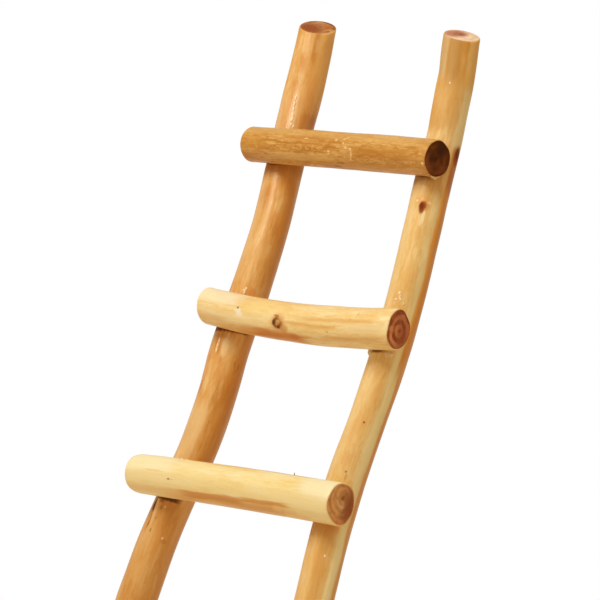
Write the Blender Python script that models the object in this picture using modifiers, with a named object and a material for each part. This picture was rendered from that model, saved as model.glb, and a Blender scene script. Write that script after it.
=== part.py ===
"""Rustic pole ladder: two crooked, peeled branch rails that lean back, with branch rungs seated in
shallow saddles across their front. Each rung is glued and held to each rail by a screw from behind.

The pieces are modelled in the ladder's own frame, x along the rungs, y towards the back and z up the
rails. One empty leans that frame back and stands its feet on the floor. Sizes are in metres."""

import bmesh
import bpy
import numpy as np
from collections import namedtuple
from math import cos, radians, sin, tan
from mathutils import Matrix

# Driving sizes of the ladder
LEAN = radians(25.0)  # from upright, towards the back
LOWEST_RUNG = 0.080  # from the floor, measured up the rails
RUNG_PITCH = 0.100
RAIL_SPACING = 0.114  # between the straight lines that the two rails wander about
RAIL_DIAMETER = 0.022
RUNG_DIAMETER = 0.022
SEAT_DEPTH = 0.004  # how far a rung sinks into a rail at the middle of its saddle
RUNG_CHAMFER = 0.0007  # eased edge round a rung's sawn end
FIT_GAP = 0.0003  # left all round between a cut and the piece that sits in it

# The wood screw that holds each joint
SCREW_DIAMETER = 0.0035
SCREW_HEAD_DIAMETER = 0.007
SCREW_HEAD_RIM = 0.0005  # straight edge of the countersunk head
SCREW_HEAD_HEIGHT = 0.0024
SCREW_POINT = 0.006  # length of the tapered tip
SCREW_SINK = 0.001  # depth of the head below the back of the rail
SCREW_COVER = 0.010  # wood left between the tip and the front of the rung

# How finely the round pieces are divided
POLE_RESOLUTION = 8  # bevel resolution of a pole, which gives 20 sides
RAIL_STATION = 0.014  # along a rail
RUNG_STATIONS = 11
SCREW_STEPS = 12
RAIL_OVERRUN = 0.030  # spare pole past both saw cuts of a rail

# A rail's crook: height up the rail, then how far its axis wanders sideways and back from a straight
# line, and how much its radius differs from half of RAIL_DIAMETER there
CROOK = namedtuple("CROOK", "height sideways back swell")
LEFT_CROOK = [
    CROOK(0.000, -0.0090, 0.0005, 0.0004),
    CROOK(0.050, -0.0105, 0.0017, 0.0004),
    CROOK(0.110, -0.0130, 0.0025, 0.0005),
    CROOK(0.170, -0.0140, 0.0019, 0.0006),
    CROOK(0.215, -0.0123, 0.0010, 0.0005),
    CROOK(0.250, -0.0082, -0.0003, 0.0001),
    CROOK(0.280, -0.0022, -0.0014, -0.0001),
    CROOK(0.302, 0.0021, -0.0020, 0.0000),
    CROOK(0.331, 0.0046, -0.0025, 0.0001),
    CROOK(0.360, 0.0034, -0.0022, 0.0003),
    CROOK(0.404, 0.0048, -0.0013, 0.0003),
    CROOK(0.442, 0.0042, -0.0004, -0.0001),
    CROOK(0.472, 0.0012, 0.0002, 0.0000),
    CROOK(0.502, -0.0016, 0.0009, 0.0004),
    CROOK(0.520, -0.0030, 0.0013, 0.0006),
    CROOK(0.545, -0.0055, 0.0019, 0.0002),
    CROOK(0.564, -0.0081, 0.0024, 0.0000),
    CROOK(0.600, -0.0130, 0.0033, 0.0000),
]
RIGHT_CROOK = [
    CROOK(0.000, 0.0010, -0.0005, 0.0000),
    CROOK(0.060, 0.0040, -0.0017, -0.0001),
    CROOK(0.120, 0.0050, -0.0016, -0.0002),
    CROOK(0.180, 0.0025, 0.0008, -0.0004),
    CROOK(0.236, -0.0023, 0.0022, -0.0005),
    CROOK(0.269, -0.0045, 0.0026, -0.0004),
    CROOK(0.303, -0.0041, 0.0026, -0.0003),
    CROOK(0.331, -0.0015, 0.0023, -0.0007),
    CROOK(0.365, 0.0018, 0.0010, -0.0005),
    CROOK(0.406, 0.0033, -0.0008, -0.0006),
    CROOK(0.441, 0.0021, -0.0018, -0.0006),
    CROOK(0.469, 0.0005, -0.0023, -0.0005),
    CROOK(0.498, -0.0005, -0.0026, -0.0006),
    CROOK(0.526, -0.0031, -0.0029, -0.0005),
    CROOK(0.556, -0.0081, -0.0030, -0.0005),
    CROOK(0.590, -0.0138, -0.0031, -0.0005),
]

# A rail: which side it is on, its crook, how far its axis runs on above the top rung, and the tilt of
# its sawn top about x and about y. The saw runs down to the front, so that the tops are nearly level
# when the ladder leans
RAIL = namedtuple("RAIL", "name side crook top_reach saw_tilt")
RAILS = [
    RAIL("left", -1, LEFT_CROOK, 0.085, (radians(31.5), radians(16.7))),
    RAIL("right", 1, RIGHT_CROOK, 0.0783, (radians(27.7), radians(16.5))),
]

# A rung: how far it sits above its place in the pitch, how much its right seat is higher than its
# left one, its bow between the seats, its reach past the rails' axes, and how much its diameter
# differs from RUNG_DIAMETER at its two ends
RUNG = namedtuple("RUNG", "lift rise bow left_reach right_reach left_swell right_swell")
RUNGS = [
    RUNG(0.0005, -0.0018, 0.0012, 0.0130, 0.0150, 0.0010, 0.0004),
    RUNG(-0.0006, 0.0014, -0.0010, 0.0105, 0.0220, -0.0002, 0.0008),
    RUNG(0.0005, 0.0030, 0.0003, 0.0190, 0.0161, 0.0004, 0.0010),
    RUNG(-0.0004, -0.0006, -0.0024, 0.0096, 0.0154, -0.0009, 0.0010),
    RUNG(-0.0001, -0.0028, 0.0002, 0.0137, 0.0128, -0.0011, -0.0012),
]

TOP_RUNG = LOWEST_RUNG + (len(RUNGS) - 1) * RUNG_PITCH
SAW_BLOCK = 2 * (RAIL_DIAMETER + RAIL_OVERRUN)
SCREW_LENGTH = RAIL_DIAMETER - SCREW_SINK - SEAT_DEPTH + RUNG_DIAMETER - SCREW_COVER


def smooth(row_heights, row_values, height):
    """A cubic through the listed values, level past both ends of the list."""
    knots = np.asarray(row_heights)
    values = np.asarray(row_values)
    slopes = np.gradient(values, knots)
    height = np.clip(height, knots[0], knots[-1])
    low = np.clip(np.searchsorted(knots, height) - 1, 0, len(knots) - 2)
    step = knots[low + 1] - knots[low]
    t = (height - knots[low]) / step
    start = values[low] + (values[low + 1] - values[low]) * t * t * (3 - 2 * t)
    return start + step * t * (1 - t) * ((1 - t) * slopes[low] - t * slopes[low + 1])


def rail_axis(rail, height):
    """Where the rail's axis is at this height: x, y and the rail's radius."""
    rows = CROOK(*zip(*rail.crook))
    x = rail.side * RAIL_SPACING / 2 + smooth(rows.height, rows.sideways, height)
    y = smooth(rows.height, rows.back, height)
    return x, y, RAIL_DIAMETER / 2 + smooth(rows.height, rows.swell, height)


def rung_seats(number):
    """Where this rung's axis crosses in front of each rail: a row of x, y, z for left and for right."""
    rung = RUNGS[number]
    middle = LOWEST_RUNG + number * RUNG_PITCH + rung.lift
    swells = (rung.left_swell, rung.right_swell)
    seats = []
    for rail, swell in zip(RAILS, swells):
        z = middle + rail.side * rung.rise / 2
        x, y, rail_radius = rail_axis(rail, z)
        rung_radius = (RUNG_DIAMETER + swell) / 2
        seats.append((x, y - rail_radius - rung_radius + SEAT_DEPTH, z))
    return np.array(seats)


def rung_path(number, grow):
    """Points along a rung and its radius at each, both grown by the same amount on every side."""
    rung = RUNGS[number]
    left, right = rung_seats(number)
    start = left[0] - rung.left_reach - grow
    end = right[0] + rung.right_reach + grow
    chamfer = RUNG_CHAMFER
    x = np.concatenate([[start], np.linspace(start + chamfer, end - chamfer, RUNG_STATIONS), [end]])
    t = (x - left[0]) / (right[0] - left[0])
    bow = rung.bow * 4 * t * (1 - t)
    line = left + np.outer(t, right - left)
    along = (x - start) / (end - start)
    radius = (RUNG_DIAMETER + rung.left_swell + (rung.right_swell - rung.left_swell) * along) / 2 + grow
    radius[[0, -1]] -= chamfer
    return np.column_stack([x, line[:, 1], line[:, 2] + bow]), radius


def finish(name, colour, roughness, metallic):
    """A plain material of this colour."""
    material = bpy.data.materials.new(name)
    material.use_nodes = True
    shader = material.node_tree.nodes["Principled BSDF"]
    shader.inputs["Base Color"].default_value = (*colour, 1.0)
    shader.inputs["Roughness"].default_value = roughness
    shader.inputs["Metallic"].default_value = metallic
    return material


def pole(name, points, radii, collection):
    """A round pole through these points, with its own radius at each: a bevelled curve made a closed mesh."""
    curve = bpy.data.curves.new(name, "CURVE")
    curve.dimensions = "3D"
    curve.bevel_depth = max(radii)
    curve.bevel_resolution = POLE_RESOLUTION
    curve.use_fill_caps = True
    spline = curve.splines.new("POLY")
    spline.points.add(len(points) - 1)
    for point, place, radius in zip(spline.points, points, radii):
        point.co = (*place, 1.0)
        point.radius = radius / curve.bevel_depth
    tube = bpy.data.objects.new(name, curve)
    collection.objects.link(tube)
    tube.parent = lean
    bpy.context.view_layer.update()
    graph = bpy.context.evaluated_depsgraph_get()
    mesh = bpy.data.meshes.new_from_object(tube.evaluated_get(graph))
    place = tube.matrix_world.copy()
    bpy.data.objects.remove(tube)
    bpy.data.curves.remove(curve)
    work = bmesh.new()
    work.from_mesh(mesh)
    bmesh.ops.remove_doubles(work, verts=work.verts, dist=0.00001)
    work.to_mesh(mesh)
    work.free()
    mesh.shade_smooth()
    mesh.set_sharp_from_angle(angle=radians(40))
    solid = bpy.data.objects.new(name, mesh)
    collection.objects.link(solid)
    solid.matrix_world = place
    return solid


def turned(name, profile, collection):
    """A shape turned about its own z axis from (radius, z) points that run from top to bottom."""
    mesh = bpy.data.meshes.new(name)
    corners = [(radius, 0.0, z) for radius, z in profile]
    mesh.from_pydata(corners, [(i, i + 1) for i in range(len(corners) - 1)], [])
    solid = bpy.data.objects.new(name, mesh)
    collection.objects.link(solid)
    turn = solid.modifiers.new("turn", "SCREW")
    turn.steps = SCREW_STEPS
    turn.render_steps = SCREW_STEPS
    turn.use_merge_vertices = True
    turn.merge_threshold = 0.00001
    return solid


def screw_profile(grow, above):
    """The screw's outline, grown on every side, with its head carried this far above its top."""
    head = SCREW_HEAD_DIAMETER / 2 + grow
    shank = SCREW_DIAMETER / 2 + grow
    return [
        (0.0, above),
        (head, above),
        (head, -SCREW_HEAD_RIM - grow),
        (shank, -SCREW_HEAD_HEIGHT - grow),
        (shank, SCREW_POINT - SCREW_LENGTH - grow),
        (0.0, -SCREW_LENGTH - 2 * grow),
    ]


def place_screw(solid, rail, number):
    """Sets a screw square through the rail's axis and the rung's, its head below the rail's back."""
    x, _, z = rung_seats(number)[RAILS.index(rail)]
    _, y, radius = rail_axis(rail, z)
    solid.parent = lean
    solid.location = (x, y + radius - SCREW_SINK, z)
    solid.rotation_euler = (radians(-90), 0.0, 0.0)


def as_cutter(solid):
    solid.hide_render = True
    solid.display_type = "WIRE"
    return solid


def cut(solid, cutters):
    for cutter in cutters:
        boolean = solid.modifiers.new(cutter.name, "BOOLEAN")
        boolean.operation = "DIFFERENCE"
        boolean.object = cutter


def saw(name):
    """A block whose underside is the saw's plane, through its own origin."""
    bpy.ops.mesh.primitive_cube_add(size=SAW_BLOCK)
    block = bpy.context.object
    block.name = name
    block.data.transform(Matrix.Translation((0.0, 0.0, SAW_BLOCK / 2)))
    for home in list(block.users_collection):
        home.objects.unlink(block)
    cutting.objects.link(block)
    return as_cutter(block)


for old in list(bpy.data.objects):
    bpy.data.objects.remove(old, do_unlink=True)

ladder = bpy.data.collections.new("pole_ladder")
cutting = bpy.data.collections.new("cutters")
bpy.context.scene.collection.children.link(ladder)
bpy.context.scene.collection.children.link(cutting)

# The feet stand in front of the origin and the tops lean as far behind it
rail_length = TOP_RUNG + max(rail.top_reach for rail in RAILS)
foot_front = RAIL_DIAMETER / 2 / cos(LEAN)
saw_slope = max(tan(rail.saw_tilt[0]) for rail in RAILS)
top_back = rail_length * sin(LEAN) + RAIL_DIAMETER / 2 * (cos(LEAN) + saw_slope * sin(LEAN))
lean = bpy.data.objects.new("ladder_lean", None)
ladder.objects.link(lean)
lean.location = (0.0, (foot_front - top_back) / 2, 0.0)
lean.rotation_euler = (-LEAN, 0.0, 0.0)

rail_finish = {
    "left": finish("left_rail_wood", (0.52, 0.23, 0.06), 0.28, 0.0),
    "right": finish("right_rail_wood", (0.62, 0.33, 0.11), 0.28, 0.0),
}
rung_finish = finish("rung_wood", (0.68, 0.45, 0.20), 0.30, 0.0)
screw_finish = finish("zinc_screw", (0.55, 0.53, 0.48), 0.35, 1.0)

# Rungs, and a grown copy of each that cuts its saddles
saddle_cutters = []
rungs = []
for number in range(len(RUNGS)):
    rung = pole(f"rung_{number + 1}", *rung_path(number, 0.0), ladder)
    rung.data.materials.append(rung_finish)
    rungs.append(rung)
    saddle = pole(f"saddle_cutter_{number + 1}", *rung_path(number, FIT_GAP), cutting)
    saddle_cutters.append(as_cutter(saddle))

for rail in RAILS:
    # The screws and the stepped holes they go in
    holes = []
    for number, rung in enumerate(rungs):
        screw = turned(f"{rail.name}_screw_{number + 1}", screw_profile(0.0, 0.0), ladder)
        screw.data.materials.append(screw_finish)
        place_screw(screw, rail, number)
        hole = turned(
            f"{rail.name}_hole_cutter_{number + 1}",
            screw_profile(FIT_GAP, SCREW_SINK + RAIL_DIAMETER / 2),
            cutting,
        )
        place_screw(hole, rail, number)
        holes.append(as_cutter(hole))
        cut(rung, [hole])

    # The rail, sawn level on the floor and sawn off by eye at the top
    length = TOP_RUNG + rail.top_reach
    stations = round((length + 2 * RAIL_OVERRUN) / RAIL_STATION)
    height = np.linspace(-RAIL_OVERRUN, length + RAIL_OVERRUN, stations)
    x, y, radius = rail_axis(rail, height)
    solid = pole(f"{rail.name}_rail", np.column_stack([x, y, height]), radius, ladder)
    solid.data.materials.append(rail_finish[rail.name])
    top_saw = saw(f"{rail.name}_top_saw")
    top_x, top_y, _ = rail_axis(rail, length)
    top_saw.parent = lean
    top_saw.location = (top_x, top_y, length)
    top_saw.rotation_euler = (*rail.saw_tilt, 0.0)
    foot_saw = saw(f"{rail.name}_foot_saw")
    foot_x, _, _ = rail_axis(rail, 0.0)
    foot_saw.location = (foot_x, lean.location.y, 0.0)
    foot_saw.rotation_euler = (radians(180), 0.0, 0.0)
    cut(solid, [top_saw, foot_saw, *saddle_cutters, *holes])
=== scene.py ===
from functools import partial
from math import cos, degrees, pi, radians, sin
from types import SimpleNamespace

import bpy
import numpy as np
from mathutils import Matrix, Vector


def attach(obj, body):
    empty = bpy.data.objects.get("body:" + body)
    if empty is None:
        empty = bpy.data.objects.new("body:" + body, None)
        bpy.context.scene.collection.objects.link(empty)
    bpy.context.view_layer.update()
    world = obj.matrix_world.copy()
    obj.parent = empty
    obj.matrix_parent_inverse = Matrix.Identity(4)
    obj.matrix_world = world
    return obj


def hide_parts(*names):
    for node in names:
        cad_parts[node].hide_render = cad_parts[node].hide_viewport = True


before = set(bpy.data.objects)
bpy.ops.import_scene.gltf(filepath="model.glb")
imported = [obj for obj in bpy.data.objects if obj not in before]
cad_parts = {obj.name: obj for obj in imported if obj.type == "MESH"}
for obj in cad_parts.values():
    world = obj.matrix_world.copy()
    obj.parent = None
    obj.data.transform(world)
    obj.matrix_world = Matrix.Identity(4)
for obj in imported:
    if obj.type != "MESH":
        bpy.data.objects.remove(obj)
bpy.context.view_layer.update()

# Rails
# Each rail is one crooked branch, peeled of its bark, sawn off at both ends and lacquered. It leans back,
# stands on a foot sawn level, and has a shallow saddle cut across its front for every rung.

LEAN = radians(25.0)
FOOT_LINE = -0.11973  # where the rails' axes meet the floor, in front of the origin
RAIL_SPACING = 0.114
RAIL_RADIUS = 0.011
# Height up the rail, then sideways and backward wander of its axis and swelling of its radius there
LEFT_CROOK = np.array([
    (0.000, -0.0090, 0.0005, 0.0004),
    (0.050, -0.0105, 0.0017, 0.0004),
    (0.110, -0.0130, 0.0025, 0.0005),
    (0.170, -0.0140, 0.0019, 0.0006),
    (0.215, -0.0123, 0.0010, 0.0005),
    (0.250, -0.0082, -0.0003, 0.0001),
    (0.280, -0.0022, -0.0014, -0.0001),
    (0.302, 0.0021, -0.0020, 0.0000),
    (0.331, 0.0046, -0.0025, 0.0001),
    (0.360, 0.0034, -0.0022, 0.0003),
    (0.404, 0.0048, -0.0013, 0.0003),
    (0.442, 0.0042, -0.0004, -0.0001),
    (0.472, 0.0012, 0.0002, 0.0000),
    (0.502, -0.0016, 0.0009, 0.0004),
    (0.520, -0.0030, 0.0013, 0.0006),
    (0.545, -0.0055, 0.0019, 0.0002),
    (0.564, -0.0081, 0.0024, 0.0000),
    (0.600, -0.0130, 0.0033, 0.0000),
])
RIGHT_CROOK = np.array([
    (0.000, 0.0010, -0.0005, 0.0000),
    (0.060, 0.0040, -0.0017, -0.0001),
    (0.120, 0.0050, -0.0016, -0.0002),
    (0.180, 0.0025, 0.0008, -0.0004),
    (0.236, -0.0023, 0.0022, -0.0005),
    (0.269, -0.0045, 0.0026, -0.0004),
    (0.303, -0.0041, 0.0026, -0.0003),
    (0.331, -0.0015, 0.0023, -0.0007),
    (0.365, 0.0018, 0.0010, -0.0005),
    (0.406, 0.0033, -0.0008, -0.0006),
    (0.441, 0.0021, -0.0018, -0.0006),
    (0.469, 0.0005, -0.0023, -0.0005),
    (0.498, -0.0005, -0.0026, -0.0006),
    (0.526, -0.0031, -0.0029, -0.0005),
    (0.556, -0.0081, -0.0030, -0.0005),
    (0.590, -0.0138, -0.0031, -0.0005),
])


def saw_plane(down, aside):
    """The normal of a saw cut in the upright frame, which slopes down to the front and to the right by so
    many degrees."""
    down, aside = radians(down), radians(aside)
    return np.array([cos(down) * sin(aside), -sin(down), cos(down) * cos(aside)])


LEVEL_SAW = saw_plane(degrees(LEAN), 0.0)  # level once the ladder leans
LEFT_RAIL = SimpleNamespace(
    name="left", side=-1, crook=LEFT_CROOK, length=0.5650, top_saw=saw_plane(31.5, 16.7), seed=11
)
RIGHT_RAIL = SimpleNamespace(
    name="right", side=1, crook=RIGHT_CROOK, length=0.5583, top_saw=saw_plane(27.7, 16.5), seed=23
)
RAILS = [LEFT_RAIL, RIGHT_RAIL]

COLUMNS = 128  # round a branch
ROW_SPACING = 0.001  # along a branch
SAW_EDGE = 0.0010  # radius left on a sawn edge by sanding and lacquer
SAWN_ARC = (0.8, 1.1)  # where the look of a sawn face begins, as the angle on that radius
EDGE_ROWS = 7
FACE_ROWS = 14
SAW_REACH = 0.030  # length over which the rows turn to follow a slanting cut
PEEL_DEPTH = 0.00011  # of the hollows that peeling leaves
AXIS_STEP = 0.0005  # to both sides, where the direction of an axis is taken


def smooth_between(knots, values, place):
    """A cubic through the listed values that keeps their slopes, level past both ends of the list."""
    slopes = np.gradient(values, knots)
    place = np.clip(place, knots[0], knots[-1])
    low = np.clip(np.searchsorted(knots, place) - 1, 0, len(knots) - 2)
    gap = knots[low + 1] - knots[low]
    t = (place - knots[low]) / gap
    ease = values[low] + (values[low + 1] - values[low]) * t * t * (3 - 2 * t)
    return ease + gap * t * (1 - t) * ((1 - t) * slopes[low] - t * slopes[low + 1])


def rail_line(rail, height):
    """The rail's axis at these heights in the upright frame: x along the rungs, y back and z up."""
    x = rail.side * RAIL_SPACING / 2 + smooth_between(rail.crook[:, 0], rail.crook[:, 1], height)
    y = smooth_between(rail.crook[:, 0], rail.crook[:, 2], height)
    return np.stack([x, y, height + 0 * x], -1)


def rail_radius(rail, height):
    """The radius that all rails share plus this rail's swelling at these heights."""
    return RAIL_RADIUS + smooth_between(rail.crook[:, 0], rail.crook[:, 3], height)


def leaned(points):
    """Leans points of the upright frame back and stands them on the floor."""
    x, y, z = np.moveaxis(points, -1, 0)
    return np.stack([x, FOOT_LINE + y * cos(LEAN) + z * sin(LEAN), z * cos(LEAN) - y * sin(LEAN)], -1)


def ramp(low, high, value):
    """0 below low, 1 above high, and a smooth rise between."""
    t = np.clip((value - low) / (high - low), 0, 1)
    return t * t * (3 - 2 * t)


def peeled(seed, place, turn):
    """The hollows of a peeled branch: cosine waves in height and turn, the finer the fainter."""
    dice = np.random.default_rng(seed)
    relief = 0 * (place + turn)
    for lobes in (2, 3, 4, 5, 6, 8, 11):
        for _ in range(3):
            waves = 2 * pi * dice.uniform(-9, 9) * lobes
            relief = relief + np.cos(lobes * turn + waves * place + dice.uniform(0, 2 * pi)) / lobes**1.3
    return PEEL_DEPTH * relief


def bosses(place, turn, rows):
    """Low round swellings, as over knots: for each a bell curve of the distance from its middle. A row
    has a place along the branch, a turn in degrees, a size and a height, which is negative for a flat."""
    relief = 0 * (place + turn)
    for at, angle, across, height in rows:
        round_it = RAIL_RADIUS * ((turn - radians(angle) + pi) % (2 * pi) - pi)
        relief = relief + height * np.exp(-((place - at) ** 2 + round_it**2) / across**2)
    return relief


def unit(vectors):
    """The vectors at a length of 1."""
    return vectors / np.maximum(np.linalg.norm(vectors, axis=-1, keepdims=True), 1e-6)


def directions(line, place):
    """Unit vectors at places along an axis: along it, towards its front and towards its side."""
    along = unit(line(place + AXIS_STEP) - line(place - AXIS_STEP))
    front = unit(np.array([0.0, -1.0, 0.0]) + along * along[..., 1:2])
    return along, front, np.cross(along, front)


def outward(turn, front, side):
    """The way out from an axis at a turn: its cosine to the front plus its sine to the side."""
    return np.cos(turn)[..., None] * front + np.sin(turn)[..., None] * side


def branch(line, radius, start, end, start_saw, end_saw):
    """A sawn branch as a grid of rows along it and columns round it. A point is its axis point plus its
    radius times the way out at its turn. The rows of the sawn ends shrink to a point, and near an end the
    rows slide along the axis onto the saw's plane. The grain's rings on a sawn end follow its outline."""
    arc = np.linspace(0, pi / 2, EDGE_ROWS)[1:]
    drop = SAW_EDGE * (1 - np.sin(arc))
    tuck = SAW_EDGE * (1 - np.cos(arc))
    shares = np.linspace(0, 1, FACE_ROWS, endpoint=False)
    middle = np.linspace(start + SAW_EDGE, end - SAW_EDGE, round((end - start) / ROW_SPACING))

    def both_ends(face, edge, between):
        """A value for each row: a sawn face, its eased edge, the round, and the same back again."""
        return np.concatenate([face, edge[::-1], between, edge, face[::-1]])[:, None]

    place = np.concatenate([start + 0 * shares, start + drop[::-1], middle, end - drop, end + 0 * shares])
    place = place[:, None]
    inset = both_ends(SAW_EDGE + 0 * shares, tuck, 0 * middle)
    share = both_ends(shares, 1 + 0 * arc, 1 + 0 * middle)
    sawn = both_ends(1 + 0 * shares, ramp(*SAWN_ARC, arc), 0 * middle)
    turn = np.linspace(-pi, pi, COLUMNS, endpoint=False)
    reach = radius(place, turn)
    spread = (reach - inset) * share
    slide = 0
    for at, saw, near in (
        (start, start_saw, 1 - ramp(start, start + SAW_REACH, place)),
        (end, end_saw, ramp(end - SAW_REACH, end, place)),
    ):
        along, front, side = directions(line, np.array(at))
        slide = slide - near * spread * (outward(turn, front, side) @ saw) / (along @ saw)
    height = place + slide
    along, front, side = directions(line, height)
    out = outward(turn, front, side)
    sawn = sawn + 0 * spread
    rings = spread * (1 + sawn * (reach.mean(axis=1, keepdims=True) / reach - 1))
    grain = np.stack([rings * np.cos(turn), rings * np.sin(turn), height], -1)
    return SimpleNamespace(points=line(height) + spread[..., None] * out, out=out, grain=grain, sawn=sawn)


def joined(values):
    """A grid's values row after row. Its first and last rows are single points, taken once."""
    return np.concatenate([values[0, :1], values[1:-1].reshape(-1, *values.shape[2:]), values[-1, :1]])


def wrapped(rows, columns):
    """The faces of a joined grid whose columns wrap round: quads between rows, and a fan at each end."""
    index = 1 + np.arange((rows - 2) * columns).reshape(rows - 2, columns)
    beside = np.roll(index, -1, axis=1)
    last = index[-1, -1] + 1
    quads = np.stack([index[:-1], beside[:-1], beside[1:], index[1:]], -1).reshape(-1, 4)
    first_fan = np.stack([0 * index[0], beside[0], index[0]], -1)
    last_fan = np.stack([last + 0 * index[0], index[-1], beside[-1]], -1)
    return quads, np.concatenate([first_fan, last_fan])


def built(name, points, faces, *materials):
    """A smooth object from points of the upright frame and faces. Nothing reaches below the floor."""
    points = leaned(points)
    points[:, 2] = np.maximum(points[:, 2], 0)
    mesh = bpy.data.meshes.new(name)
    mesh.from_pydata(points.tolist(), [], faces)
    mesh.shade_smooth()
    for material in materials:
        mesh.materials.append(material)
    piece = bpy.data.objects.new(name, mesh)
    bpy.context.scene.collection.objects.link(piece)
    return piece


def skinned(name, grid, *materials):
    """Closes a grid into an object. Where the grid says that it is sawn, it wears the second material."""
    rows, columns = grid.points.shape[:2]
    quads, fans = wrapped(rows, columns)
    piece = built(name, joined(grid.points), quads.tolist() + fans.tolist(), *materials)
    if hasattr(grid, "grain"):
        grain = piece.data.attributes.new("grain", "FLOAT_VECTOR", "POINT")
        grain.data.foreach_set("vector", joined(grid.grain).ravel())
        tight = piece.data.attributes.new("tight", "FLOAT", "POINT")
        tight.data.foreach_set("value", joined(grid.tight))
        sawn = grid.sawn[1:-1] > 0.5
        wears = np.concatenate([(sawn[:-1] & sawn[1:]).ravel(), np.ones(2 * columns, bool)])
        piece.data.polygons.foreach_set("material_index", wears.astype(np.int32))
    return piece


# The rungs' lines are needed here, because the saddles are cut to them
LOWEST_RUNG = 0.080
RUNG_PITCH = 0.100
RUNG_RADIUS = 0.011
SEAT_DEPTH = 0.004
SEAT_GAP = 0.0003
# Lift above its place in the pitch, rise to the right, bow, reach past each rail, and swelling of the
# diameter at the left and the right
RUNG_SHAPES = [
    (0.0005, -0.0018, 0.0012, 0.0130, 0.0150, 0.0010, 0.0004),
    (-0.0006, 0.0014, -0.0010, 0.0105, 0.0220, -0.0002, 0.0008),
    (0.0005, 0.0030, 0.0003, 0.0190, 0.0161, 0.0004, 0.0010),
    (-0.0004, -0.0006, -0.0024, 0.0096, 0.0154, -0.0009, 0.0010),
    (-0.0001, -0.0028, 0.0002, 0.0137, 0.0128, -0.0011, -0.0012),
]


def set_out_rung(number):
    """Where a rung crosses the rails, how far it reaches, and its radius at both ends."""
    lift, rise, bow, left_reach, right_reach, left_swell, right_swell = RUNG_SHAPES[number]
    seats = []
    for rail, swell in zip(RAILS, (left_swell, right_swell)):
        height = LOWEST_RUNG + number * RUNG_PITCH + lift + rail.side * rise / 2
        seat = rail_line(rail, np.array(height))
        seat[1] -= rail_radius(rail, height) + RUNG_RADIUS + swell / 2 - SEAT_DEPTH
        seats.append(seat)
    return SimpleNamespace(
        seats=seats,
        bow=bow,
        start=seats[0][0] - left_reach,
        end=seats[1][0] + right_reach,
        start_radius=RUNG_RADIUS + left_swell / 2,
        end_radius=RUNG_RADIUS + right_swell / 2,
    )


def rung_line(rung, x):
    """The rung's axis at these places across the ladder: a line through its seats plus its bow."""
    left, right = rung.seats
    t = (x - left[0]) / (right[0] - left[0])
    y = left[1] + t * (right[1] - left[1])
    z = left[2] + t * (right[2] - left[2]) + rung.bow * 4 * t * (1 - t)
    return np.stack([x + 0 * t, y, z], -1)


def rung_radius(rung, x):
    """The rung's radius at these places, which goes evenly from one end's to the other's."""
    t = np.clip((x - rung.start) / (rung.end - rung.start), 0, 1)
    return rung.start_radius + t * (rung.end_radius - rung.start_radius)


RUNGS = [set_out_rung(number) for number in range(len(RUNG_SHAPES))]


def seat_on(rail, rung):
    """Where a rung's axis crosses this rail."""
    return rung.seats[RAILS.index(rail)]


def back_of(rail, height):
    """How far back the rail reaches at this height."""
    return rail_line(rail, height)[1] + rail_radius(rail, height)


def cut_saddle(grid, rung):
    """Sinks the points of a rail that lie inside a rung, along their own radius, onto the rung."""
    x = grid.points[..., 0]
    gap = grid.points - rung_line(rung, x)
    y, z = gap[..., 1], gap[..., 2]
    out_y, out_z = grid.out[..., 1], grid.out[..., 2]
    reach = rung_radius(rung, x) + SEAT_GAP
    inside = y * y + z * z < reach * reach
    a = out_y**2 + out_z**2
    b = y * out_y + z * out_z
    sink = (b + np.sqrt(np.maximum(b * b - a * (y * y + z * z - reach * reach), 0))) / a
    grid.points -= np.where(inside, sink, 0)[..., None] * grid.out


CORNER_DEPTH = 0.0015  # gap over which painted shade fades where two branches meet
CORNER_ABOVE = 0.3  # share of that painted shade above a rung's axis, against all of it below


def corner_shade(gap, below):
    """How much painted shade a corner gets: 1 where the gap to the other branch closes, fading as the gap
    widens.
    """
    return np.exp(-np.maximum(gap, 0) / CORNER_DEPTH) * np.where(below, 1.0, CORNER_ABOVE)


SCREW_HEAD_RADIUS = 0.0035
SCREW_SINK = 0.001
BORE_RADIUS = SCREW_HEAD_RADIUS + 0.0004
BORE_DEPTH = 0.0022
BORE_DRAFT = 0.985  # how much of its mouth the bore keeps at its bottom
RIM_CATCH = 0.7 * ROW_SPACING  # points this near to the rim move onto it


def bore_for_screw(grid, x, z, back):
    """Sinks a round hole in the back of a rail for a screw's head: the points near its rim move onto the
    rim's circle, and those within it move to the bottom."""
    side, up = grid.points[..., 0] - x, grid.points[..., 2] - z
    far = np.hypot(side, up)
    behind = grid.out[..., 1] > 0.5
    rim = behind & (abs(far - BORE_RADIUS) < RIM_CATCH)
    within = behind & (far < BORE_RADIUS)
    pull = np.where(rim, BORE_RADIUS / np.maximum(far, 1e-6), 1)
    pull = np.where(within, np.minimum(pull, 1) * BORE_DRAFT, pull)
    grid.points[..., 0] = x + side * pull
    grid.points[..., 2] = z + up * pull
    grid.points[..., 1] = np.where(within, back - BORE_DEPTH, grid.points[..., 1])


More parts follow.
